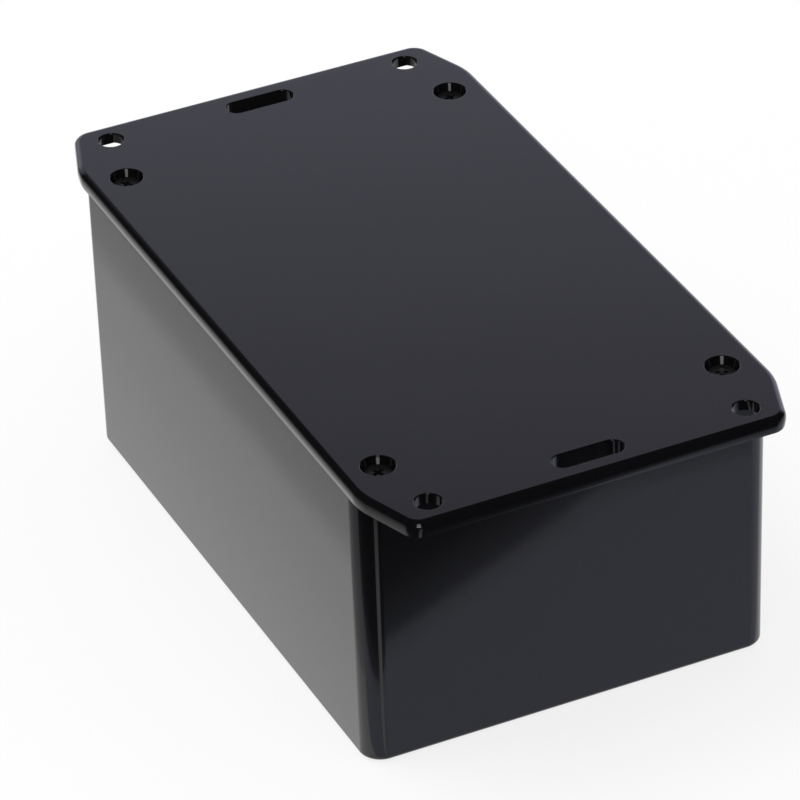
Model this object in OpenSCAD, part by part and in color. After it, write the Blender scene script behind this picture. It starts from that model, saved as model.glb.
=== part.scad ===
// Moulded plastic project box: a deep open box closed by a flat cover with two mounting flanges.
// The origin is at the middle of the underside. +X runs along the length, +Y across, +Z up.

/* [Box] */
// Outside length of the box at its rim
body_l = 120; // [115:0.5:130]
// Outside width of the box at its rim
body_w = 79.5; // [76:0.5:79.5]
// Height of the box without its cover
body_h = 54.5; // [40:0.5:70]
// Wall thickness at the rim
wall_t = 2.2; // [1.8:0.1:2.6]
// Floor thickness
floor_t = 2.3; // [1.8:0.1:3.5]
// Radius of the upright outside corners at the rim
corner_r = 4.6; // [4:0.1:5.5]
// Radius round the bottom edge
base_edge_r = 1; // [0.6:0.1:1.4]
// How far each wall leans in from the rim to the floor, so that the moulding leaves its tool
draft = 0.36; // [0.1:0.01:0.6]

/* [Cover] */
// Length of the cover over both flanges
lid_l = 145.8; // [142:0.2:156]
// Width of the cover
lid_w = 80; // [80:0.2:82]
// Thickness of the cover over the box
lid_t = 3; // [2.9:0.1:3.2]
// Length of each cut corner along the cover
corner_cut_l = 12.6; // [10:0.2:14]
// Depth of each cut corner across the cover
corner_cut_w = 4.5; // [3:0.1:5]
// Radius where a flange's end meets a cut corner
end_r = 3.4; // [3:0.1:4]
// Radius where a cut corner runs into the long side
shoulder_r = 12.5; // [8:0.5:14]
// Radius along the upper edge
lid_edge_r = 1.2; // [0.8:0.1:1.3]
// Depth of the parting line below the top face
parting_depth = 1.85; // [1.6:0.05:2.2]
// Thickness of the flange where its underside is cored out
flange_web_t = 2; // [1.6:0.1:2.4]

/* [Fastening] */
// Distance between the cover screws along the box
screw_spacing_l = 107.4; // [107:0.1:108]
// Distance between the cover screws across the box
screw_spacing_w = 66; // [65.5:0.1:66.2]
// Distance between the flange holes along the cover
flange_spacing_l = 134.8; // [134.2:0.1:135.4]
// Distance between the flange holes across the cover
flange_spacing_w = 60.4; // [58:0.2:61]
// Diameter of the flange holes
flange_hole_d = 4.8; // [4:0.1:5]
// Distance between the two mounting slots
slot_spacing = 134.4; // [134:0.1:135]
// Length of each mounting slot
slot_l = 13.4; // [10:0.2:16]
// Width of the mounting slots
slot_w = 4.2; // [4:0.1:4.4]
// Diameter of a screw's head
head_d = 5; // [4.8:0.1:5.2]
// Diameter over a screw's thread
thread_d = 2.8; // [2.6:0.1:2.9]
// Length of a screw
screw_l = 12; // [10:0.5:14]

/* [Inside] */
// Radius of the pillars that take the cover screws
pillar_r = 3.8; // [3.4:0.1:4]
// Gap between the two ribs of a card guide
guide_gap = 1.8; // [1.6:0.1:2.2]
// How far the card guides stop below the rim
guide_drop = 6; // [4:0.5:10]
// Height of the board posts above the floor
post_h = 5; // [3:0.5:8]
// Distance between the board posts along the box
post_spacing_l = 80; // [70:1:84]
// Distance between the board posts across the box
post_spacing_w = 44; // [36:1:50]

/* [Hidden] */
$fn = 64;
slope = draft / body_h;
lean = atan(slope);
cut_through = 1;

// Card guides
guide_t = 1.2;
guide_depth = 1.5;
guide_root = 0.8;
side_guides_x = [-30, 0, 30];
end_guides_y = [-15, 15];

// Board posts and their pilot holes
post_r = 3;
post_pilot_r = 1.1;
post_pilot_depth = 4.5;

// Cover screws, their holes and their pillars
screw_x = screw_spacing_l / 2;
screw_y = screw_spacing_w / 2;
head_sink = 1.4;
head_rim_t = 0.25;
head_r = head_d / 2;
thread_r = thread_d / 2;
head_cone_h = head_r - thread_r;
tip_chamfer = 0.5;
recess_arm_l = 2.9;
recess_arm_t = 0.75;
recess_depth = 0.9;
pilot_r = thread_r + 0.05;
pilot_depth = screw_l;
recess_mouth_r = 3.1;
seat_gap = 0.1;
clearance_r = thread_r + 0.2;

// Flanges and the cover's edge
upper_draft = 0.12;
lower_draft = 0.2;
edge_lean = atan(upper_draft / parting_depth);
flange_rim_t = 1.9;
flange_land = 1.2;
slot_collar_t = 1.3;
slot_x = slot_spacing / 2;
slot_straight = slot_l - slot_w;

// Rib under the cover that locates it inside the box
locating_t = 1.2;
locating_h = 2;
locating_gap = 0.25;
locating_end_gap = 0.9;

// Facets round the cover's outline and over its upper edge
outline_fn = 48;
edge_fn = 32;

// Upright section of a drafted block: half_w at height top, leaning in downwards, with a round foot.
module drafted_section(half_w, top, foot, edge_r) {
    foot_half_w = half_w - (top - foot) * slope;
    centre_x = foot_half_w + edge_r * slope - edge_r / cos(lean);
    touch_x = centre_x + edge_r * cos(lean);
    touch_z = foot + edge_r - edge_r * sin(lean);
    polygon([
        [-half_w, top], [-touch_x, touch_z], [-centre_x, foot],
        [centre_x, foot], [touch_x, touch_z], [half_w, top]
    ]);
    for (side = [-1, 1])
        translate([side * centre_x, foot + edge_r])
            circle(r = edge_r);
}

// Drafted block with round upright corners and a round bottom edge.
module drafted_block(l, w, r, top, foot, edge_r) {
    straight_l = l - 2 * r;
    straight_w = w - 2 * r;
    translate([0, straight_w / 2, 0])
        rotate([90, 0, 0])
            linear_extrude(straight_w)
                drafted_section(l / 2, top, foot, edge_r);
    translate([-straight_l / 2, 0, 0])
        rotate([90, 0, 90])
            linear_extrude(straight_l)
                drafted_section(w / 2, top, foot, edge_r);
    for (corner = [[1, 1, 0], [-1, 1, 90], [-1, -1, 180], [1, -1, 270]])
        translate([corner[0] * straight_l / 2, corner[1] * straight_w / 2, 0])
            rotate([0, 0, corner[2]])
                rotate_extrude(angle = 90)
                    intersection() {
                        drafted_section(r, top, foot, edge_r);
                        square([2 * r, top]);
                    }
}

// Moves its children to the four places of a rectangular pattern.
module at_corners(x, y) {
    for (side_x = [-1, 1], side_y = [-1, 1])
        translate([side_x * x, side_y * y, 0])
            children();
}

// Screw pillar, filling the corner of the box behind it.
module pillar() {
    reach_l = body_l / 2 - wall_t / 2 - screw_x;
    reach_w = body_w / 2 - wall_t / 2 - screw_y;
    cylinder(r = pillar_r, h = body_h);
    translate([-pillar_r, 0, 0])
        cube([pillar_r + reach_l, reach_w, body_h]);
    translate([0, -pillar_r, 0])
        cube([reach_l, pillar_r + reach_w, body_h]);
}

// Two upright ribs that hold the edge of a board between them, standing out along +Y from y = 0.
module card_guide() {
    for (side = [-1, 1])
        translate([side * (guide_gap + guide_t) / 2 - guide_t / 2, -guide_root, floor_t / 2])
            cube([guide_t, guide_depth + guide_root, body_h - guide_drop - floor_t / 2]);
}

// All that stands inside the box: pillars in the corners, card guides on the walls, posts on the floor.
module fittings() {
    guide_x = body_l / 2 - wall_t - draft;
    guide_y = body_w / 2 - wall_t - draft;
    for (turn = [0, 180], mirrored = [0, 1])
        rotate([0, 0, turn])
            mirror([0, mirrored, 0])
                translate([screw_x, screw_y, floor_t / 2])
                    pillar();
    for (x = side_guides_x, turn = [0, 180])
        rotate([0, 0, turn])
            translate([x, -guide_y, 0])
                card_guide();
    for (y = end_guides_y, turn = [90, 270])
        rotate([0, 0, turn])
            translate([y, -guide_x, 0])
                card_guide();
    at_corners(post_spacing_l / 2, post_spacing_w / 2)
        translate([0, 0, floor_t / 2])
            cylinder(r = post_r, h = post_h + floor_t / 2);
}

// The mould's core, which leaves the space inside the box: the fittings are cut into it.
module cavity() {
    difference() {
        drafted_block(
            body_l - 2 * wall_t, body_w - 2 * wall_t, corner_r - wall_t,
            body_h, floor_t, base_edge_r / 2
        );
        fittings();
    }
}

module box_body() {
    color([0.05, 0.05, 0.055])
    difference() {
        drafted_block(body_l, body_w, corner_r, body_h, 0, base_edge_r);
        cavity();
        at_corners(screw_x, screw_y)
            translate([0, 0, body_h - pilot_depth])
                cylinder(r = pilot_r, h = pilot_depth + cut_through);
        at_corners(post_spacing_l / 2, post_spacing_w / 2)
            translate([0, 0, floor_t + post_h - post_pilot_depth])
                cylinder(r = post_pilot_r, h = post_pilot_depth + cut_through);
    }
}

// Sharp corners of the cover's outline, anticlockwise, and the radius at each.
outline = [
    [lid_l / 2, -lid_w / 2 + corner_cut_w, end_r],
    [lid_l / 2, lid_w / 2 - corner_cut_w, end_r],
    [lid_l / 2 - corner_cut_l, lid_w / 2, shoulder_r],
    [-lid_l / 2 + corner_cut_l, lid_w / 2, shoulder_r],
    [-lid_l / 2, lid_w / 2 - corner_cut_w, end_r],
    [-lid_l / 2, -lid_w / 2 + corner_cut_w, end_r],
    [-lid_l / 2 + corner_cut_l, -lid_w / 2, shoulder_r],
    [lid_l / 2 - corner_cut_l, -lid_w / 2, shoulder_r]
];
sides = len(outline);

// A corner's place, the direction of the side that leaves it, and the centre of its round.
function point_at(i) = [outline[i % sides][0], outline[i % sides][1]];
function along(i) = (point_at(i + 1) - point_at(i)) / norm(point_at(i + 1) - point_at(i));
function turn_at(i) = acos(along(i + sides - 1) * along(i));
function inward(i) = [-along(i)[1], along(i)[0]];
function round_centre(i) =
    point_at(i) + outline[i][2] * (tan(turn_at(i) / 2) * along(i) + inward(i));

// Section of the cover's edge: round above, widest at the parting line, drawn in below it.
module lid_edge_section(reach) {
    touch_x = reach - (parting_depth - lid_edge_r) * tan(edge_lean);
    centre_x = touch_x - lid_edge_r / cos(edge_lean);
    polygon([
        [0, 0], [0, -lid_t], [reach - lower_draft, -lid_t], [reach, -parting_depth],
        [centre_x + lid_edge_r * cos(edge_lean), -lid_edge_r + lid_edge_r * sin(edge_lean)],
        [centre_x, 0]
    ]);
    translate([centre_x, -lid_edge_r])
        circle(r = lid_edge_r);
}

// Solid plate of the cover, with its top face at z = 0.
module lid_plate() {
    hull()
        for (i = [0 : sides - 1])
            translate([round_centre(i)[0], round_centre(i)[1], 0])
                rotate_extrude($fn = outline_fn)
                    lid_edge_section(outline[i][2], $fn = edge_fn);
}

// Slot outline with round ends, grown by a margin all round.
module slot_outline(margin) {
    square([slot_w + 2 * margin, slot_straight], center = true);
    for (side = [-1, 1])
        translate([0, side * slot_straight / 2])
            circle(d = slot_w + 2 * margin);
}

// Hollow under the flange at +X, inside its rim and round the slot's collar.
module flange_hollow() {
    near_x = body_l / 2 + flange_land;
    far_x = lid_l / 2 - flange_rim_t;
    cut_slope = corner_cut_w / corner_cut_l;
    rim_across = flange_rim_t * norm([1, cut_slope]);
    near_y = lid_w / 2 - rim_across - (near_x - lid_l / 2 + corner_cut_l) * cut_slope;
    far_y = lid_w / 2 - rim_across - (far_x - lid_l / 2 + corner_cut_l) * cut_slope;
    linear_extrude(lid_t - flange_web_t + cut_through)
        difference() {
            polygon([[near_x, -near_y], [far_x, -far_y], [far_x, far_y], [near_x, near_y]]);
            translate([slot_x, 0])
                slot_outline(slot_collar_t);
        }
}

// Hole for a countersunk cover screw, with its mouth at z = 0: a tapered recess over a 45 degree seat.
module screw_hole() {
    seat_top_r = head_r + seat_gap;
    seat_top_depth = head_sink + head_rim_t;
    seat_h = seat_top_r - clearance_r;
    recess_slope = (recess_mouth_r - seat_top_r) / seat_top_depth;
    translate([0, 0, -lid_t - cut_through])
        cylinder(r = clearance_r, h = lid_t + 2 * cut_through);
    translate([0, 0, -seat_top_depth - seat_h])
        cylinder(r1 = clearance_r, r2 = seat_top_r, h = seat_h);
    translate([0, 0, -seat_top_depth])
        cylinder(
            r1 = seat_top_r, r2 = recess_mouth_r + recess_slope * cut_through,
            h = seat_top_depth + cut_through
        );
}

module locating_rib() {
    long_l = 2 * (screw_x - pillar_r - locating_end_gap);
    long_y = body_w / 2 - wall_t - locating_gap;
    short_l = 2 * (screw_y - pillar_r - locating_end_gap);
    short_x = body_l / 2 - wall_t - locating_gap;
    for (turn = [0, 180])
        rotate([0, 0, turn])
            translate([0, 0, -lid_t - locating_h]) {
                translate([-long_l / 2, long_y - locating_t, 0])
                    cube([long_l, locating_t, locating_h + lid_t / 2]);
                translate([short_x - locating_t, -short_l / 2, 0])
                    cube([locating_t, short_l, locating_h + lid_t / 2]);
            }
}

module lid() {
    color([0.05, 0.05, 0.055])
    translate([0, 0, body_h + lid_t])
        difference() {
            union() {
                difference() {
                    lid_plate();
                    for (turn = [0, 180])
                        rotate([0, 0, turn])
                            translate([0, 0, -lid_t - cut_through])
                                flange_hollow();
                }
                locating_rib();
            }
            at_corners(screw_x, screw_y)
                screw_hole();
            at_corners(flange_spacing_l / 2, flange_spacing_w / 2)
                translate([0, 0, -lid_t - cut_through])
                    cylinder(d = flange_hole_d, h = lid_t + 2 * cut_through);
            for (side = [-1, 1])
                translate([side * slot_x, 0, -lid_t - cut_through])
                    linear_extrude(lid_t + 2 * cut_through)
                        slot_outline(0);
        }
}

// Countersunk screw in its hole: side_x is 1 at the front, side_y is 1 on the right.
module lid_screw(side_x, side_y) {
    color([0.07, 0.07, 0.075])
    translate([side_x * screw_x, side_y * screw_y, body_h + lid_t - head_sink])
        difference() {
            rotate_extrude()
                polygon([
                    [0, -screw_l],
                    [thread_r - tip_chamfer, -screw_l],
                    [thread_r, -screw_l + tip_chamfer],
                    [thread_r, -head_rim_t - head_cone_h],
                    [head_r, -head_rim_t],
                    [head_r, 0],
                    [0, 0]
                ]);
            for (turn = [0, 90])
                rotate([0, 0, turn])
                    translate([-recess_arm_l / 2, -recess_arm_t / 2, -recess_depth])
                        cube([recess_arm_l, recess_arm_t, recess_depth + cut_through]);
        }
}

box_body();
lid();
lid_screw(1, -1);  // lid_screw_front_left
lid_screw(1, 1);  // lid_screw_front_right
lid_screw(-1, -1);  // lid_screw_back_left
lid_screw(-1, 1);  // lid_screw_back_right
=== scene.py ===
# %% [markdown]
# # A moulded plastic project box
#
# The object is a deep black box for electronics with a flat cover. The cover's two ends stand
# out past the box as flanges, with holes and a slot to bolt the box to a wall or a panel.
# Four countersunk screws hold the cover down.
#
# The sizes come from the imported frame, so every piece made here lies where its solid lies.
# All lengths are in metres, and MM turns a length in millimetres into metres.

import math

import bmesh
import bpy
from mathutils import Matrix, Vector


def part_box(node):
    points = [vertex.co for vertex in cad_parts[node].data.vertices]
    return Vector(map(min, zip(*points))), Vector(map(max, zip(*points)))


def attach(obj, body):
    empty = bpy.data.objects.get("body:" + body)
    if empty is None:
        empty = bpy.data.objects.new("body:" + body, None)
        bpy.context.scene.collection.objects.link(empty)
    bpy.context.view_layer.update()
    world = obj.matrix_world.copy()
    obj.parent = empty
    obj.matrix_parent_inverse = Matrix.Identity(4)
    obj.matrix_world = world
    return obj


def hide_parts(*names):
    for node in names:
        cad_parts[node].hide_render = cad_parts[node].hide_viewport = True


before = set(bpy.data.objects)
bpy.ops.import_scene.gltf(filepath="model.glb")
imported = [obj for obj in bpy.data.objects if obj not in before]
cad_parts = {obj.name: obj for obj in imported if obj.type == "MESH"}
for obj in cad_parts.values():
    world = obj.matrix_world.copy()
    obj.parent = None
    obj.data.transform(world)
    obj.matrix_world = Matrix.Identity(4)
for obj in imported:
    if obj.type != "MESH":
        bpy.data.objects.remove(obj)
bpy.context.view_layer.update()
MM = 0.001

body_low, body_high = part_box("box_body")
lid_low, lid_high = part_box("lid")
body_l = 2 * body_high.x
body_w = 2 * body_high.y
body_h = body_high.z
lid_l = 2 * lid_high.x
lid_w = 2 * lid_high.y
lid_top = lid_high.z
lid_t = lid_top - body_h
print("box", body_l / MM, body_w / MM, body_h / MM, "cover", lid_l / MM, lid_w / MM, lid_t / MM)

# %% [markdown]
# ## Small helpers
#
# A mould makes a shape by closing tools round it, and the pieces here are made alike. A plain
# form is built with bmesh operators. A second form is then joined to it or cut out of it, as a
# core pin leaves a hole. The boolean is applied at once, so the finished piece is one closed mesh.

# %% Make an object from a bmesh
def to_object(bm, name):
    """Closes the bmesh into an object of its own at the origin, with its faces pointing out."""
    bmesh.ops.recalc_face_normals(bm, faces=bm.faces[:])
    mesh = bpy.data.meshes.new(name)
    bm.to_mesh(mesh)
    bm.free()
    piece = bpy.data.objects.new(name, mesh)
    bpy.context.scene.collection.objects.link(piece)
    return piece


def is_closed(piece):
    """True if every edge of the mesh has two faces."""
    bm = bmesh.new()
    bm.from_mesh(piece.data)
    closed = all(len(edge.link_faces) == 2 for edge in bm.edges)
    bm.free()
    return closed


# %% Join a tool to a piece, or cut it out
def carve(piece, tool, how):
    """Applies a boolean to piece. how is UNION or DIFFERENCE, and the tool is used up."""
    step = piece.modifiers.new("carve", "BOOLEAN")
    step.operation = how
    step.solver = "MANIFOLD"
    step.object = tool
    shape = bpy.data.meshes.new_from_object(
        piece.evaluated_get(bpy.context.evaluated_depsgraph_get())
    )
    piece.modifiers.clear()
    spent = [piece.data, tool.data]
    piece.data = shape
    shape.name = piece.name
    bpy.data.objects.remove(tool)
    for mesh in spent:
        bpy.data.meshes.remove(mesh)
    return piece


# %% Shade a piece smooth across its rounds and crisp at its corners
SHARP = math.radians(32)


def shade(piece):
    """Flat faces keep their own normal, and the rounds between them blend into it."""
    piece.data.shade_smooth()
    piece.data.set_sharp_from_angle(angle=SHARP)
    weighted = piece.modifiers.new("weighted", "WEIGHTED_NORMAL")
    weighted.weight = 100
    weighted.keep_sharp = True


# %% [markdown]
# ## A section turned on a lathe
#
# Most of this object is round somewhere: the corners of the box, the holes, the screws. Each of
# these starts as the half section of the shape, drawn as a chain of points in the XZ plane.
# Bevelling a point of the chain rounds that corner of the section, and spinning the chain
# about Z turns it into a surface.

# %% Draw a section and round its corners
ARC_STEPS = 6


def section(bm, points):
    """points are (radius, height, round) in millimetres. Returns the chain's vertices."""
    verts = [bm.verts.new((r * MM, 0, z * MM)) for r, z, _ in points]
    for a, b in zip(verts, verts[1:]):
        bm.edges.new((a, b))
    for vert, (_, _, rounding) in zip(verts, points):
        if rounding:
            turn = math.pi - (vert.link_edges[0].other_vert(vert).co - vert.co).angle(
                vert.link_edges[1].other_vert(vert).co - vert.co
            )
            bmesh.ops.bevel(
                bm, geom=[vert], affect="VERTICES", offset=rounding * MM * math.tan(turn / 2),
                offset_type="OFFSET", segments=ARC_STEPS, profile=0.5, material=-1,
            )
    return bm


def turned(points, steps):
    """A bmesh of the section spun once round Z, half a step off the axes."""
    bm = bmesh.new()
    section(bm, points)
    bmesh.ops.rotate(bm, verts=bm.verts[:], cent=(0, 0, 0), matrix=Matrix.Rotation(math.pi / steps, 3, "Z"))
    bmesh.ops.spin(
        bm, geom=bm.verts[:] + bm.edges[:], cent=(0, 0, 0), axis=(0, 0, 1),
        angle=2 * math.pi, steps=steps, use_merge=True, use_duplicate=False,
    )
    bmesh.ops.remove_doubles(bm, verts=bm.verts[:], dist=1e-7)
    return bm


def close_ends(bm):
    """Fills every open loop with one flat face."""
    rims = [edge for edge in bm.edges if edge.is_boundary]
    bmesh.ops.holes_fill(bm, edges=rims, sides=0)
    return bm


# %% [markdown]
# ## The box
#
# The real box is one moulding with walls of even thickness, round upright corners and a slight
# draft, so that it comes off its core. Turning the section of the wall gives a small round cup.
# The cup's four quarters are then pulled apart along X and Y. The corners stay round, and the
# long faces stretched between them are the flat walls.

# %% The shell of the box
CORNER_STEPS = 48
corner_r = 4.6
wall_t = 2.2
floor_t = 2.3
draft = 0.36
rim_height = body_h / MM
base_edge_r = 1.0
rim_edge_r = 0.25
inner_r = corner_r - wall_t


def pull_apart(bm, along_x, along_y):
    """Moves each quarter of a turned shape away from the middle."""
    quarters = [
        (sx, sy, [v for v in bm.verts if v.co.x * sx > 0 and v.co.y * sy > 0])
        for sx in (-1, 1) for sy in (-1, 1)
    ]
    for sx, sy, verts in quarters:
        bmesh.ops.translate(bm, verts=verts, vec=(sx * along_x, sy * along_y, 0))


shell = turned([
    (2.4, 0, 0),
    (corner_r - draft, 0, base_edge_r),
    (corner_r, rim_height, rim_edge_r),
    (inner_r, rim_height, rim_edge_r),
    (inner_r - draft, floor_t, 0.5),
    (0.8, floor_t, 0),
], CORNER_STEPS)
flat_r = corner_r * math.cos(math.pi / CORNER_STEPS) * MM
pull_apart(shell, body_l / 2 - flat_r, body_w / 2 - flat_r)
close_ends(shell)
box_body = to_object(shell, "box_moulding")
print("box shell closed:", is_closed(box_body), "faces:", len(box_body.data.polygons))

# %% [markdown]
# ## Pillars, card guides and board posts
#
# Inside, the moulding carries a pillar in each corner for a cover screw, pairs of upright ribs
# that hold the edges of circuit boards, and four posts on the floor. Each is a cube or a disc
# shaped by a bevel. They are collected in one mesh and joined to the shell in one go.

# %% A block with its place in its mesh
def block(bm, low, high):
    """Adds a box between two corners, given in millimetres. Returns its vertices."""
    low, high = Vector(low) * MM, Vector(high) * MM
    size = high - low
    made = bmesh.ops.create_cube(bm, size=1)["verts"]
    bmesh.ops.scale(bm, verts=made, vec=size)
    bmesh.ops.translate(bm, verts=made, vec=(low + high) / 2)
    return made


def edges_of(verts):
    """Edges that lie wholly within a set of vertices."""
    chosen = set(verts)
    return {e for v in verts for e in v.link_edges if e.other_vert(v) in chosen}


# %% Inner details as one tool
screw_x, screw_y = (
    (Vector(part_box("lid_screw_front_right")[0]) + Vector(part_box("lid_screw_front_right")[1])) / 2 / MM
).xy
pillar_r = 3.8
guide_t = 1.2
guide_gap = 1.8
guide_depth = 1.5
guide_top = rim_height - 6
side_guides_x = (-30, 0, 30)
end_guides_y = (-15, 15)
post_r = 3
post_h = 5
post_x, post_y = 40, 22
soft_edge = 0.25
inner_x = body_l / MM / 2 - wall_t - draft
inner_y = body_w / MM / 2 - wall_t - draft
sink = 0.8
corner_sink = 0.2


def add_pillar(bm, sx, sy):
    """Corner pillar: a square post whose inner edge is rounded about the screw."""
    reach_x = body_l / MM / 2 - wall_t + corner_sink
    reach_y = body_w / MM / 2 - wall_t + corner_sink
    made = block(bm, (screw_x - pillar_r, screw_y - pillar_r, floor_t / 2), (reach_x, reach_y, rim_height))
    inner = [
        e for e in edges_of(made)
        if all(abs(v.co.x / MM - screw_x + pillar_r) < 0.01 and abs(v.co.y / MM - screw_y + pillar_r) < 0.01
               for v in e.verts)
    ]
    grown = bmesh.ops.bevel(
        bm, geom=inner, affect="EDGES", offset=pillar_r * MM, offset_type="OFFSET",
        segments=12, profile=0.5, material=-1,
    )["verts"]
    fresh = {v for v in made if v.is_valid} | set(grown)
    bmesh.ops.scale(bm, verts=list(fresh), vec=(sx, sy, 1))


def add_guide(bm, turn, across, wall_at):
    """Two upright ribs on the wall that faces turn degrees, across from the wall's middle."""
    for side in (-1, 1):
        middle = across + side * (guide_gap + guide_t) / 2
        made = block(
            bm, (wall_at - guide_depth, middle - guide_t / 2, floor_t / 2),
            (wall_at + sink, middle + guide_t / 2, guide_top),
        )
        top_front = [
            e for e in edges_of(made)
            if all(v.co.x < (wall_at - guide_depth / 2) * MM for v in e.verts)
        ]
        grown = bmesh.ops.bevel(
            bm, geom=top_front, affect="EDGES", offset=soft_edge * MM, offset_type="OFFSET",
            segments=3, profile=0.5, material=-1,
        )["verts"]
        fresh = {v for v in made if v.is_valid} | set(grown)
        bmesh.ops.rotate(
            bm, verts=list(fresh), cent=(0, 0, 0), matrix=Matrix.Rotation(math.radians(turn), 3, "Z")
        )


details = bmesh.new()
for sx in (-1, 1):
    for sy in (-1, 1):
        add_pillar(details, sx, sy)
for across in side_guides_x:
    add_guide(details, 90, across, inner_y)
    add_guide(details, 270, across, inner_y)
for across in end_guides_y:
    add_guide(details, 0, across, inner_x)
    add_guide(details, 180, across, inner_x)
details = to_object(details, "inner_details")
carve(box_body, details, "UNION")
print("box with pillars and guides closed:", is_closed(box_body))

# %% [markdown]
# ## Pins that leave the holes
#
# A hole in a moulding has a fine radius at its mouth, where the light catches. The tool for each
# hole is turned from a section that flares at the top with that radius. Copies of it stand at
# every place of a pattern, and one boolean cuts them all.

# %% Turned pins at the places of a pattern
PIN_STEPS = 40
over = 1.0


def pins(name, points, places, stretch=0.0, steps=PIN_STEPS):
    """One mesh with a closed turned pin at each (x, y, z) place, pulled apart along Y by stretch."""
    bm = turned(points, steps)
    if stretch:
        for side in (-1, 1):
            half = [v for v in bm.verts if v.co.y * side > 0]
            bmesh.ops.translate(bm, verts=half, vec=(0, side * stretch * MM / 2, 0))
    close_ends(bm)
    first = bm.verts[:] + bm.edges[:] + bm.faces[:]
    for place in places[1:]:
        copy = bmesh.ops.duplicate(bm, geom=first)["geom"]
        bmesh.ops.translate(
            bm, verts=[g for g in copy if isinstance(g, bmesh.types.BMVert)], vec=Vector(place) * MM
        )
    bmesh.ops.translate(
        bm, verts=[g for g in first if isinstance(g, bmesh.types.BMVert)], vec=Vector(places[0]) * MM
    )
    return to_object(bm, name)


def four(x, y, z):
    """The four places of a rectangular pattern."""
    return [(sx * x, sy * y, z) for sx in (-1, 1) for sy in (-1, 1)]


# %% Posts on the floor, and the pilot holes
hair = 0.02
thread_r = 1.4
pilot_r = thread_r + 0.05
pilot_depth = 12
post_pilot_r = 1.1
post_pilot_depth = 4.5
mouth_r = 0.2

posts = pins("posts", [
    (hair, -floor_t / 2, 0), (post_r, -floor_t / 2, 0), (post_r, post_h, soft_edge), (hair, post_h, 0),
], four(post_x, post_y, floor_t))
carve(box_body, posts, "UNION")

screw_pilots = pins("screw_pilots", [
    (hair, -pilot_depth, 0), (pilot_r, -pilot_depth, 0), (pilot_r, 0, mouth_r),
    (pilot_r + 2 * mouth_r, 0, 0), (pilot_r + 2 * mouth_r, over, 0), (hair, over, 0),
], four(screw_x, screw_y, rim_height))
carve(box_body, screw_pilots, "DIFFERENCE")

post_pilots = pins("post_pilots", [
    (hair, -post_pilot_depth, 0), (post_pilot_r, -post_pilot_depth, 0), (post_pilot_r, 0, 0),
    (post_pilot_r, over, 0), (hair, over, 0),
], four(post_x, post_y, floor_t + post_h), steps=24)
carve(box_body, post_pilots, "DIFFERENCE")
print("finished box closed:", is_closed(box_body), "faces:", len(box_body.data.polygons))

# %% [markdown]
# ## The cover
#
# The cover is a flat plate with its four corners cut off at a shallow angle. Its edge has three
# bands: a round along the top, an upright band down to the parting line where the two halves of
# the mould met, and a band below that draws in. The plate starts as one eight-sided face at the
# parting line. Bevelling its corners rounds them, and insets with a depth raise each band.

# %% The plate of the cover
corner_cut_l = 12.6
corner_cut_w = 4.5
end_r = 3.4
shoulder_r = 12.5
lid_edge_r = 1.2
parting_depth = 1.85
upper_draft = 0.12
lower_draft = 0.2
EDGE_STEPS = 9
half_l, half_w = lid_l / MM / 2, lid_w / MM / 2
plate_t = lid_t / MM
top_z = lid_top / MM


def round_outline(bm, face, radii):
    """Rounds each corner of a flat face with its own radius."""
    corners = [(v, radii[i]) for i, v in enumerate(face.verts)]
    for vert, radius in corners:
        a, b = [e.other_vert(vert).co - vert.co for e in vert.link_edges]
        turn = math.pi - a.angle(b)
        bmesh.ops.bevel(
            bm, geom=[vert], affect="VERTICES", offset=radius * MM * math.tan(turn / 2),
            offset_type="OFFSET", segments=10, profile=0.5, material=-1,
        )
    return bm.faces[:][0]


def plate_outline(z):
    """Flat face with the cover's outline at height z."""
    bm = bmesh.new()
    shoulder_x = half_l - corner_cut_l
    flange_y = half_w - corner_cut_w
    corners = [
        (half_l, -flange_y), (half_l, flange_y), (shoulder_x, half_w), (-shoulder_x, half_w),
        (-half_l, flange_y), (-half_l, -flange_y), (-shoulder_x, -half_w), (shoulder_x, -half_w),
    ]
    face = bm.faces.new([bm.verts.new((x * MM, y * MM, z * MM)) for x, y in corners])
    radii = [end_r, end_r, shoulder_r, shoulder_r, end_r, end_r, shoulder_r, shoulder_r]
    return bm, round_outline(bm, face, radii)


def raise_band(bm, face, inwards, up):
    """Insets the face by inwards and lifts it by up, both in millimetres."""
    bmesh.ops.inset_region(
        bm, faces=[face], thickness=inwards * MM, depth=up * MM,
        use_even_offset=True, use_boundary=True,
    )


def half_plate(bands, z):
    """Bands of (inwards, up) raised one after the other from the parting line."""
    bm, face = plate_outline(z)
    bm.normal_update()
    if face.normal.z < 0:
        face.normal_flip()
    for inwards, up in bands:
        raise_band(bm, face, inwards, up)
    return bm


lean = math.atan2(upper_draft, parting_depth)
upright = parting_depth - lid_edge_r + lid_edge_r * math.sin(lean)
bands = [(upright * math.tan(lean), upright)]
angles = [lean + (math.pi / 2 - lean) * i / EDGE_STEPS for i in range(EDGE_STEPS + 1)]
for a, b in zip(angles, angles[1:]):
    bands.append((lid_edge_r * (math.cos(a) - math.cos(b)), lid_edge_r * (math.sin(b) - math.sin(a))))

upper = half_plate(bands, top_z - parting_depth)
lower = half_plate([(lower_draft, plate_t - parting_depth)], 0)
bmesh.ops.scale(lower, verts=lower.verts[:], vec=(1, 1, -1))
bmesh.ops.translate(lower, verts=lower.verts[:], vec=(0, 0, (top_z - parting_depth) * MM))
scrap = bpy.data.meshes.new("scrap")
lower.to_mesh(scrap)
lower.free()
upper.from_mesh(scrap)
bpy.data.meshes.remove(scrap)
bmesh.ops.remove_doubles(upper, verts=upper.verts[:], dist=1e-6)
lid = to_object(upper, "lid_moulding")
print("cover plate closed:", is_closed(lid), "faces:", len(lid.data.polygons))

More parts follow.
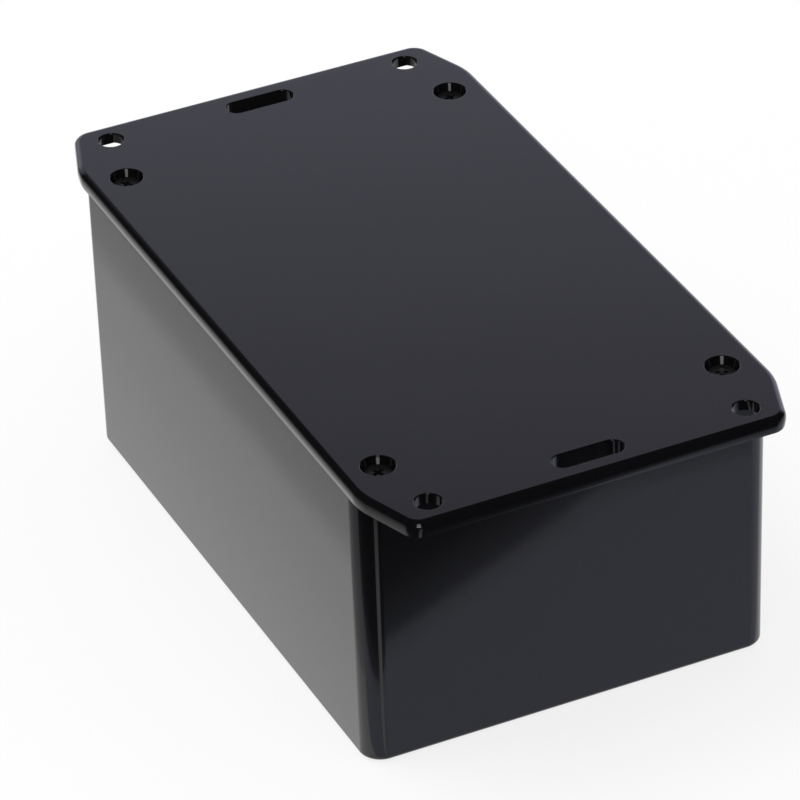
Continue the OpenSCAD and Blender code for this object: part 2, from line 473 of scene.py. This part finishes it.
# %% [markdown]
# ## The underside of the cover
#
# A thick flange would sink as it cools, so the mould has a core that thins it from below. What
# stays is a rim round the edge and a collar round the slot. A low rib in four straight lengths
# drops inside the box and keeps the cover in line with it.

# %% Hollows under the flanges
flange_web_t = 2.0
flange_rim_t = 1.9
flange_land = 1.2
slot_x = 67.2
slot_w = 4.2
slot_straight = 13.4 - slot_w
slot_collar_t = 1.3
hollow_edge_r = 0.5
rim_z = rim_height


def flange_hollow(turn):
    """The space under one flange, inside its rim, as a closed block."""
    near_x = body_l / MM / 2 + flange_land
    far_x = half_l - flange_rim_t
    cut_slope = corner_cut_w / corner_cut_l
    rim_across = flange_rim_t * math.hypot(1, cut_slope)
    near_y = half_w - rim_across - (near_x - half_l + corner_cut_l) * cut_slope
    far_y = half_w - rim_across - (far_x - half_l + corner_cut_l) * cut_slope
    bm = bmesh.new()
    outline = [(near_x, -near_y), (far_x, -far_y), (far_x, far_y), (near_x, near_y)]
    face = bm.faces.new([bm.verts.new((x * MM, y * MM, (rim_z - over) * MM)) for x, y in outline])
    round_outline(bm, face, [hollow_edge_r] * 4)
    grown = bmesh.ops.extrude_face_region(bm, geom=bm.faces[:])["geom"]
    bmesh.ops.translate(
        bm, verts=[g for g in grown if isinstance(g, bmesh.types.BMVert)],
        vec=(0, 0, (over + plate_t - flange_web_t) * MM),
    )
    bmesh.ops.rotate(bm, verts=bm.verts[:], cent=(0, 0, 0), matrix=Matrix.Rotation(turn, 3, "Z"))
    return to_object(bm, "flange_hollow")


for end, turn in ((1, 0), (-1, math.pi)):
    hollow = flange_hollow(turn)
    collar_r = slot_w / 2 + slot_collar_t
    collar = pins("collar", [
        (hair, -2 * over, 0), (collar_r, -2 * over, 0), (collar_r, plate_t + over, 0), (hair, plate_t + over, 0),
    ], [(end * slot_x, 0, rim_z)], stretch=slot_straight)
    carve(hollow, collar, "DIFFERENCE")
    carve(lid, hollow, "DIFFERENCE")
print("cover with hollow flanges closed:", is_closed(lid))

# %% The locating rib
locating_t = 1.2
locating_h = 2
locating_gap = 0.25
locating_end_gap = 0.9
long_x = screw_x - pillar_r - locating_end_gap
long_y = body_w / MM / 2 - wall_t - locating_gap
short_x = body_l / MM / 2 - wall_t - locating_gap
short_y = screw_y - pillar_r - locating_end_gap
rib = bmesh.new()
for side in (-1, 1):
    middle_y = side * (long_y - locating_t / 2)
    middle_x = side * (short_x - locating_t / 2)
    for low, high in (
        ((-long_x, middle_y - locating_t / 2), (long_x, middle_y + locating_t / 2)),
        ((middle_x - locating_t / 2, -short_y), (middle_x + locating_t / 2, short_y)),
    ):
        made = block(rib, (*low, rim_z - locating_h), (*high, rim_z + plate_t / 2))
        foot = [e for e in edges_of(made) if all(v.co.z < rim_z * MM for v in e.verts)]
        bmesh.ops.bevel(
            rib, geom=foot, affect="EDGES", offset=soft_edge * MM, offset_type="OFFSET",
            segments=3, profile=0.5, material=-1,
        )
carve(lid, to_object(rib, "locating_rib"), "UNION")

# %% Holes and slots through the cover
lift = 0.004
head_sink = 1.4
head_rim_t = 0.25
head_r = 2.5
recess_mouth_r = 3.1
clearance_r = thread_r + 0.2
seat_top_r = head_r + 0.1
seat_top = -head_sink - head_rim_t
seat_foot = seat_top - (seat_top_r - clearance_r)


def flare(radius, mouth):
    """End of a pin's section: a fine round at the mouth of the hole, then clear of the face."""
    return [(radius, lift, mouth), (radius + 2 * mouth, lift, 0), (radius + 2 * mouth, over, 0), (hair, over, 0)]


screw_holes = pins("screw_holes", [
    (hair, -plate_t - over, 0), (clearance_r, -plate_t - over, 0), (clearance_r, seat_foot, 0),
    (seat_top_r, seat_top, 0), *flare(recess_mouth_r, mouth_r),
], four(screw_x, screw_y, top_z), steps=56)
carve(lid, screw_holes, "DIFFERENCE")

flange_hole_r = 2.4
flange_holes = pins("flange_holes", [
    (hair, -plate_t - over, 0), (flange_hole_r, -plate_t - over, 0), *flare(flange_hole_r, mouth_r),
], four(67.4, 30.2, top_z), steps=56)
carve(lid, flange_holes, "DIFFERENCE")

slots = pins("slots", [
    (hair, -plate_t - over, 0), (slot_w / 2, -plate_t - over, 0), *flare(slot_w / 2, mouth_r),
], [(-slot_x, 0, top_z), (slot_x, 0, top_z)], stretch=slot_straight, steps=56)
carve(lid, slots, "DIFFERENCE")
print("finished cover closed:", is_closed(lid), "faces:", len(lid.data.polygons))

# %% [markdown]
# ## The cover screws
#
# Each screw is a short countersunk screw of blackened steel with a cross recess. Its shank and
# head are turned, and the thread is a small triangle spun round the shank while it climbs, which
# is how the spin operator makes a helix. It cuts its own thread in the pillar.

# %% One screw at the origin, its head's top at z = 0
screw_l = 12.0
core_r = 1.08
pitch = 1.05
thread_low = -screw_l + 0.7
thread_high = -3.2
HELIX_STEPS = 20


def thread_ridge():
    """The helical ridge as a closed tube with a triangular section, fading out at both ends."""
    turns = (thread_high - thread_low) / pitch
    steps = round(turns * HELIX_STEPS)
    bm = bmesh.new()
    foot_r = core_r - 0.12
    crest_r = thread_r - 0.02
    corners = [(foot_r, -0.38), (crest_r, 0), (foot_r, 0.38)]
    verts = [bm.verts.new((r * MM, 0, (thread_low + z) * MM)) for r, z in corners]
    loop = [bm.edges.new((verts[i], verts[(i + 1) % 3])) for i in range(3)]
    bmesh.ops.spin(
        bm, geom=verts + loop, cent=(0, 0, 0), axis=(0, 0, 1), dvec=(0, 0, pitch * MM / HELIX_STEPS),
        angle=2 * math.pi / HELIX_STEPS * steps, steps=steps, use_duplicate=False,
    )
    fade = pitch * 0.8
    for vert in bm.verts:
        radius = math.hypot(vert.co.x, vert.co.y)
        if radius > (foot_r + 0.1) * MM:
            from_end = min(vert.co.z / MM - thread_low, thread_high - vert.co.z / MM)
            height = min(1.0, max(0.05, from_end / fade))
            wanted = (foot_r + (crest_r - foot_r) * (0.45 + 0.55 * height)) * MM
            bmesh.ops.scale(bm, verts=[vert], vec=(wanted / radius, wanted / radius, 1))
    close_ends(bm)
    return to_object(bm, "thread")


def cross_wing(turn):
    """One wing of the cross recess, wide at the top and narrow at the bottom."""
    bm = bmesh.new()
    made = block(bm, (-1.45, -0.4, -1.0), (1.45, 0.4, 0.5))
    foot = [v for v in made if v.co.z < 0]
    bmesh.ops.scale(bm, verts=foot, vec=(0.42, 0.7, 1))
    bmesh.ops.rotate(bm, verts=bm.verts[:], cent=(0, 0, 0), matrix=Matrix.Rotation(turn, 3, "Z"))
    return to_object(bm, "cross_wing")


master = turned([
    (hair, -screw_l, 0), (core_r - 0.35, -screw_l, 0.12), (core_r, -screw_l + 0.5, 0.2),
    (core_r, -head_rim_t - head_r + core_r, 0.3), (head_r, -head_rim_t, 0.06), (head_r, 0, 0.14), (hair, 0, 0),
], 40)
close_ends(master)
screw = to_object(master, "screw")
carve(screw, thread_ridge(), "UNION")
for turn in (0, math.pi / 2):
    carve(screw, cross_wing(turn), "DIFFERENCE")
print("screw closed:", is_closed(screw), "faces:", len(screw.data.polygons))

# %% A screw in each hole, turned as it happened to stop
stops = {"front_left": 23, "front_right": 64, "back_left": 41, "back_right": 8}
screws = {}
for place, stop in stops.items():
    low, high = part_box(f"lid_screw_{place}")
    at = Vector(((low.x + high.x) / 2, (low.y + high.y) / 2, high.z))
    mesh = screw.data.copy()
    mesh.transform(Matrix.Translation(at) @ Matrix.Rotation(math.radians(stop), 4, "Z"))
    screws[place] = bpy.data.objects.new(f"screw_{place}", mesh)
    bpy.context.scene.collection.objects.link(screws[place])
bpy.data.objects.remove(screw)

# %% [markdown]
# ## Black moulded plastic
#
# The box is styrene plastic from a polished mould: nearly black, with a mirror gloss that is
# never quite perfect. A slow noise in the bump makes the reflections waver as shrinkage does, a
# fine one gives the faint skin of a moulding, and the roughness drifts a little between them.

# %% Node helpers
def new_material(name):
    """A material with its nodes, links and Principled shader."""
    material = bpy.data.materials.new(name)
    material.use_nodes = True
    nodes, links = material.node_tree.nodes, material.node_tree.links
    return material, nodes, links, nodes["Principled BSDF"]


def noise(nodes, links, coordinates, scale, detail=2.0, rough=0.5):
    """A noise texture on the given coordinates. Returns its output."""
    texture = nodes.new("ShaderNodeTexNoise")
    texture.inputs["Scale"].default_value = scale
    texture.inputs["Detail"].default_value = detail
    texture.inputs["Roughness"].default_value = rough
    links.new(coordinates, texture.inputs["Vector"])
    return texture.outputs["Fac"]


def spread(nodes, links, value, low, high, start=0.3, end=0.7):
    """Maps a value from start-end to low-high."""
    ramp = nodes.new("ShaderNodeMapRange")
    ramp.inputs["From Min"].default_value = start
    ramp.inputs["From Max"].default_value = end
    ramp.inputs["To Min"].default_value = low
    ramp.inputs["To Max"].default_value = high
    links.new(value, ramp.inputs["Value"])
    return ramp.outputs["Result"]


def bump(nodes, links, height, depth, under=None):
    """A bump of the given depth in metres, over another bump if one is given."""
    node = nodes.new("ShaderNodeBump")
    node.inputs["Strength"].default_value = 1.0
    node.inputs["Distance"].default_value = depth
    links.new(height, node.inputs["Height"])
    if under is not None:
        links.new(under, node.inputs["Normal"])
    return node.outputs["Normal"]


def tint(nodes, links, value, dark, light):
    """Mixes two colours by a value."""
    mix = nodes.new("ShaderNodeMix")
    mix.data_type = "RGBA"
    mix.inputs["A"].default_value = (*dark, 1)
    mix.inputs["B"].default_value = (*light, 1)
    links.new(value, mix.inputs["Factor"])
    return mix.outputs["Result"]


# %% The gloss of the moulding
def moulded_black():
    """Glossy black plastic with slow waves and a fine skin."""
    material, nodes, links, shader = new_material("moulded_black")
    place = nodes.new("ShaderNodeTexCoord").outputs["Object"]
    waves = noise(nodes, links, place, 26, detail=1.5)
    skin = noise(nodes, links, place, 900, detail=3.0)
    patches = noise(nodes, links, place, 60, detail=4.0, rough=0.6)
    links.new(tint(nodes, links, patches, (0.002, 0.002, 0.0023), (0.0035, 0.0035, 0.004)), shader.inputs["Base Color"])
    links.new(spread(nodes, links, patches, 0.05, 0.09), shader.inputs["Roughness"])
    slow = bump(nodes, links, waves, 2.0e-5)
    links.new(bump(nodes, links, skin, 4.0e-7, under=slow), shader.inputs["Normal"])
    shader.inputs["IOR"].default_value = 1.5
    return material


# %% The blackened steel of the screws
def blackened_steel():
    """Dark satin metal, worn a little lighter in patches."""
    material, nodes, links, shader = new_material("blackened_steel")
    place = nodes.new("ShaderNodeTexCoord").outputs["Object"]
    wear = noise(nodes, links, place, 1400, detail=3.0)
    grain = noise(nodes, links, place, 6000, detail=2.0)
    links.new(tint(nodes, links, wear, (0.006, 0.006, 0.007), (0.02, 0.02, 0.021)), shader.inputs["Base Color"])
    links.new(spread(nodes, links, wear, 0.32, 0.5), shader.inputs["Roughness"])
    links.new(bump(nodes, links, grain, 6.0e-6), shader.inputs["Normal"])
    shader.inputs["Metallic"].default_value = 0.5
    return material


# %% Finish every piece
plastic = moulded_black()
steel = blackened_steel()


def finish_piece(piece, material, body, node):
    """Gives a piece its finish, its shading and its body, in place of its solid."""
    piece.data.materials.clear()
    piece.data.materials.append(material)
    shade(piece)
    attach(piece, body)
    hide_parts(node)


finish_piece(box_body, plastic, "box_body", "box_body")
finish_piece(lid, plastic, "lid", "lid")
for place, piece in screws.items():
    finish_piece(piece, steel, f"screw_{place}", f"lid_screw_{place}")
print("pieces:", [piece.name for piece in (box_body, lid, *screws.values())])

# %% [markdown]
# ## The floor and the light
#
# The box stands on a plain white sweep. A shiny black thing shows little but its surroundings,
# so they are what is lit: the long side mirrors the white floor, and the cover mirrors a soft
# grey wall behind. The floor is partly a plain diffuse white, which takes the soft shadow.

# %% The floor
FLOOR_GLOW = 0.8
floor_mesh = bmesh.new()
bmesh.ops.create_grid(floor_mesh, x_segments=1, y_segments=1, size=3.0)
floor = to_object(floor_mesh, "floor")
floor.location.z = -0.0002


def any_ray(nodes, links, kinds):
    """1 for a ray of any of these kinds, such as Is Camera Ray, and 0 for the rest."""
    path = nodes.new("ShaderNodeLightPath")
    total = path.outputs[kinds[0]]
    for kind in kinds[1:]:
        larger = nodes.new("ShaderNodeMath")
        larger.operation = "MAXIMUM"
        links.new(total, larger.inputs[0])
        links.new(path.outputs[kind], larger.inputs[1])
        total = larger.outputs["Value"]
    return total


def sweep_white():
    """White paper: it shows white to the camera and to mirrors, and still takes a shadow."""
    material, nodes, links, shader = new_material("sweep_white")
    shader.inputs["Base Color"].default_value = (0.9, 0.9, 0.9, 1)
    shader.inputs["Roughness"].default_value = 0.9
    shader.inputs["Specular IOR Level"].default_value = 0.0
    glow = nodes.new("ShaderNodeEmission")
    glow.inputs["Strength"].default_value = 1.0
    seen = any_ray(nodes, links, ("Is Camera Ray", "Is Glossy Ray", "Is Transmission Ray"))
    share = nodes.new("ShaderNodeMath")
    share.operation = "MULTIPLY"
    share.inputs[1].default_value = FLOOR_GLOW
    links.new(seen, share.inputs[0])
    mix = nodes.new("ShaderNodeMixShader")
    links.new(share.outputs["Value"], mix.inputs["Fac"])
    links.new(shader.outputs["BSDF"], mix.inputs[1])
    links.new(glow.outputs["Emission"], mix.inputs[2])
    links.new(mix.outputs["Shader"], nodes["Material Output"].inputs["Surface"])
    return material


floor.data.materials.append(sweep_white())

# %% The surroundings
def surroundings():
    """Even light for plain surfaces. Mirrors see a pale wall low behind and a dark room elsewhere."""
    world = bpy.data.worlds.new("surroundings")
    bpy.context.scene.world = world
    world.use_nodes = True
    nodes, links = world.node_tree.nodes, world.node_tree.links
    background = nodes["Background"]
    background.inputs["Strength"].default_value = 1.0
    direction = nodes.new("ShaderNodeTexCoord").outputs["Generated"]
    parts = nodes.new("ShaderNodeSeparateXYZ")
    links.new(direction, parts.inputs["Vector"])
    upwards = spread(nodes, links, parts.outputs["Z"], 1.0, 0.0, start=0.42, end=0.645)
    facing = nodes.new("ShaderNodeVectorMath")
    facing.operation = "DOT_PRODUCT"
    facing.inputs[1].default_value = (-0.908, 0.42, 0)
    links.new(direction, facing.inputs[0])
    behind = spread(nodes, links, facing.outputs["Value"], 0.0, 1.0, start=0.58, end=0.79)
    wall = nodes.new("ShaderNodeMath")
    wall.operation = "MULTIPLY"
    links.new(upwards, wall.inputs[0])
    links.new(behind, wall.inputs[1])
    mirrored = tint(nodes, links, wall.outputs["Value"], (0.02, 0.02, 0.024), (0.97, 0.98, 1.2))
    even = nodes.new("ShaderNodeMix")
    even.data_type = "RGBA"
    even.inputs["A"].default_value = (0.8, 0.8, 0.8, 1)
    links.new(mirrored, even.inputs["B"])
    links.new(any_ray(nodes, links, ("Is Glossy Ray",)), even.inputs["Factor"])
    links.new(even.outputs["Result"], background.inputs["Color"])


surroundings()

# %% [markdown]
# ## Cards for the reflections
#
# A photographer stands white and black cards just outside the picture to shape what a glossy
# thing mirrors. These cards glow with a brightness that changes along one direction, and only
# mirrors show them: the lens, the shadows and the plain light pass through.

# %% A card that only mirrors show
CARD_GAIN = 2.0


def mirror_card(name, corners, direction, stops, gain=CARD_GAIN, tinge=(1, 1, 1)):
    """corners are in millimetres, and stops are (millimetres along direction, brightness)."""
    bm = bmesh.new()
    bm.faces.new([bm.verts.new(Vector(corner) * MM) for corner in corners])
    card = to_object(bm, name)
    card.visible_camera = card.visible_diffuse = card.visible_shadow = False
    card.visible_transmission = False
    material, nodes, links, _ = new_material(name)
    place = nodes.new("ShaderNodeTexCoord").outputs["Object"]
    along = nodes.new("ShaderNodeVectorMath")
    along.operation = "DOT_PRODUCT"
    along.inputs[1].default_value = direction
    links.new(place, along.inputs[0])
    first, last = stops[0][0], stops[-1][0]
    ramp = nodes.new("ShaderNodeValToRGB")
    links.new(
        spread(nodes, links, along.outputs["Value"], 0, 1, start=first * MM, end=last * MM), ramp.inputs["Fac"]
    )
    bands = ramp.color_ramp.elements
    while len(bands) < len(stops):
        bands.new(0.5)
    for band, (at, tone) in zip(bands, stops):
        band.position = (at - first) / (last - first)
        band.color = (*(tone / gain * part for part in tinge), 1)
    glow = nodes.new("ShaderNodeEmission")
    glow.inputs["Strength"].default_value = gain
    links.new(ramp.outputs["Color"], glow.inputs["Color"])
    links.new(glow.outputs["Emission"], nodes["Material Output"].inputs["Surface"])
    card.data.materials.append(material)
    return card


# %% Cards on the floor: white beside the long wall, and grey before the front with a dark end
side_y = -body_w / MM / 2
front_x = body_l / MM / 2
mirror_card(
    "side_card", [(-2600, -2600, 0.1), (front_x, -2600, 0.1), (front_x, side_y, 0.1), (-2600, side_y, 0.1)],
    (0, -1, 0), [(40, 1.13), (55, 1.0), (62, 0.96), (66, 0.72), (76, 0.62), (120, 0.38), (190, 0.2), (600, 0.02)],
)
mirror_card(
    "front_card", [(front_x, -2600, 0.1), (2600, -2600, 0.1), (2600, 1200, 0.1), (front_x, 1200, 0.1)],
    (0.915, -0.404, 0), [(40, 0.62), (86, 0.6), (91, 0.5), (94, 0.2), (104, 0.06), (126, 0.02), (160, 0.02)],
    tinge=(0.97, 1.0, 1.2),
)
mirror_card(
    "front_dusk", [(112, 26, 0.3), (276, 399, 0.3), (112, 399, 0.3)],
    (1, 0, 0), [(112, 0.55), (119, 0.36), (276, 0.3)], tinge=(0.97, 1.0, 1.2),
)
mirror_card(
    "light_gap", [(front_x + 0.5, -36, 0.2), (190, -84, 0.2), (190, -45, 0.2)],
    (1, 0, 0), [(60, 0.95), (105, 0.8), (135, 0.42), (190, 0.5)],
)

# %% A tall window behind the lens, for the glints in the screw holes and on the near corner
lens_side = Vector((0.908, -0.42, 0))
across = Vector((0.42, 0.908, 0))
window_far, window_half, window_top = 1300, 220, 1700
foot = lens_side * window_far
mirror_card(
    "tall_window",
    [foot - across * window_half, foot + across * window_half,
     foot + across * window_half + Vector((0, 0, window_top)),
     foot - across * window_half + Vector((0, 0, window_top))],
    (0, 0, 1), [(0, 9.0), (77, 8.0), (130, 2.5), (1700, 2.2)], gain=10.0,
)

# %% A soft lamp overhead
def soft_lamp(name, place, size, power, mirrored):
    """A square area lamp aimed at the object. mirrored says whether glossy surfaces show it."""
    lamp = bpy.data.lights.new(name, "AREA")
    lamp.size = size
    lamp.energy = power
    holder = bpy.data.objects.new(name, lamp)
    holder.location = place
    holder.rotation_euler = (-Vector(place)).to_track_quat("-Z", "Y").to_euler()
    holder.visible_glossy = mirrored
    bpy.context.scene.collection.objects.link(holder)
    return holder


soft_lamp("overhead", (-0.3, -0.5, 1.4), 0.9, 9.0, False)

# %% [markdown]
# ## The camera
#
# A long lens from a metre away looks down on the front corner, so the long side and the front
# end both show and the verticals stay nearly parallel. The camera is rolled by two degrees.

# %% The camera
bpy.context.scene.view_settings.view_transform = "Standard"
camera_data = bpy.data.cameras.new("camera")
camera = bpy.data.objects.new("camera", camera_data)
bpy.context.scene.collection.objects.link(camera)
bpy.context.scene.camera = camera
camera_data.sensor_width = 36
camera_data.lens = 254.96
camera.location = (0.77883, -0.35979, 0.59133)
aim = Vector((-0.00133, -0.00334, 0.02973))
ROLL = math.radians(1.964)
look = (aim - camera.location).to_track_quat("-Z", "Y")
camera.rotation_euler = (look.to_matrix() @ Matrix.Rotation(-ROLL, 3, "Z")).to_euler()
